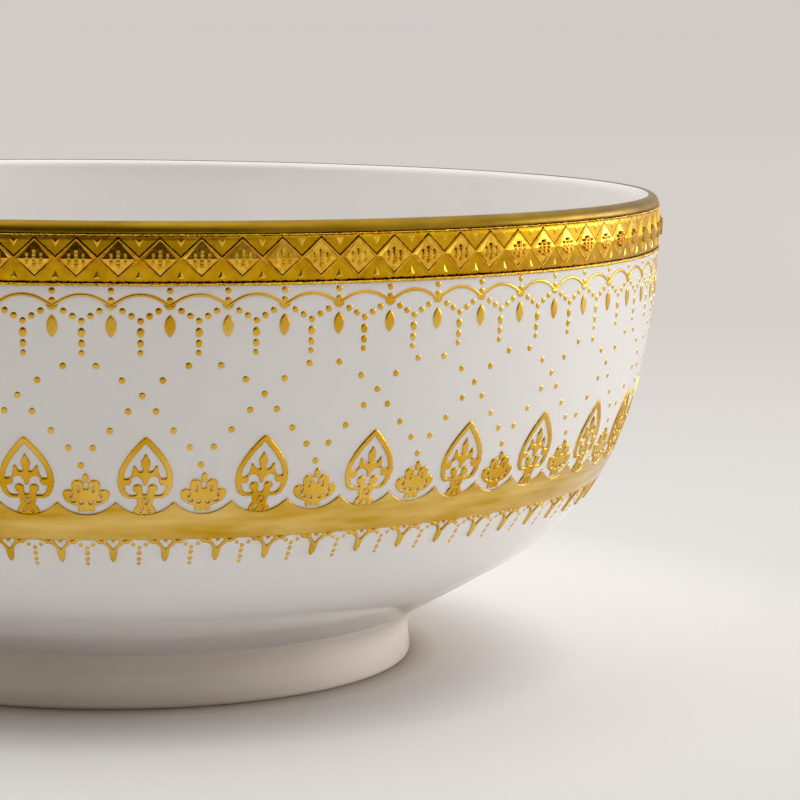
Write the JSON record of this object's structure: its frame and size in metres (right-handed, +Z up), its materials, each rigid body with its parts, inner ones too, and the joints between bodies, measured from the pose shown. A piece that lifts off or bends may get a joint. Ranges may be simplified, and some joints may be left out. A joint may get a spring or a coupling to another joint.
{
  "type": "serving bowl",
  "caption": "Round porcelain serving bowl on a foot ring, with a rolled gilded lip, a raised diamond border, hanging bead swags, palmettes and a scalloped gold belt.",
  "frame": {"origin": "centre of the foot ring's seat", "axes": "+Z up along the bowl's axis, the front of the bowl faces -Y"},
  "size_m": [0.2311, 0.2312, 0.1003],
  "materials": {
    "glazed_porcelain": "clear glossy glaze over warm white porcelain",
    "foot_porcelain": "glazed outside, unglazed polished seat",
    "burnished_gold": "fired-on bright gold, burnished smooth",
    "raised_gold": "fired-on raised gold relief, bright domed tops",
    "matt_gold": "fired-on matt granular gold ground"
  },
  "bodies": {
    "root": {"bowl_wall": "glazed_porcelain", "foot_ring": "foot_porcelain", "lip_gilding": "burnished_gold", "band_top_cord": "burnished_gold", "band_ground": "matt_gold", "band_lattice": "raised_gold", "band_bars": "raised_gold", "band_points": "raised_gold", "band_bottom_cord": "burnished_gold", "arch_line": "raised_gold", "arch_saddles": "raised_gold", "arch_studs": "raised_gold", "swag_beads": "raised_gold", "string_beads": "raised_gold", "marquise_drops": "raised_gold", "trellis_beads": "raised_gold", "palmettes": "raised_gold", "shell_motifs": "raised_gold", "scalloped_belt": "burnished_gold", "fringe_pendants": "raised_gold", "fringe_beads": "raised_gold"}
  },
  "joints": []
}
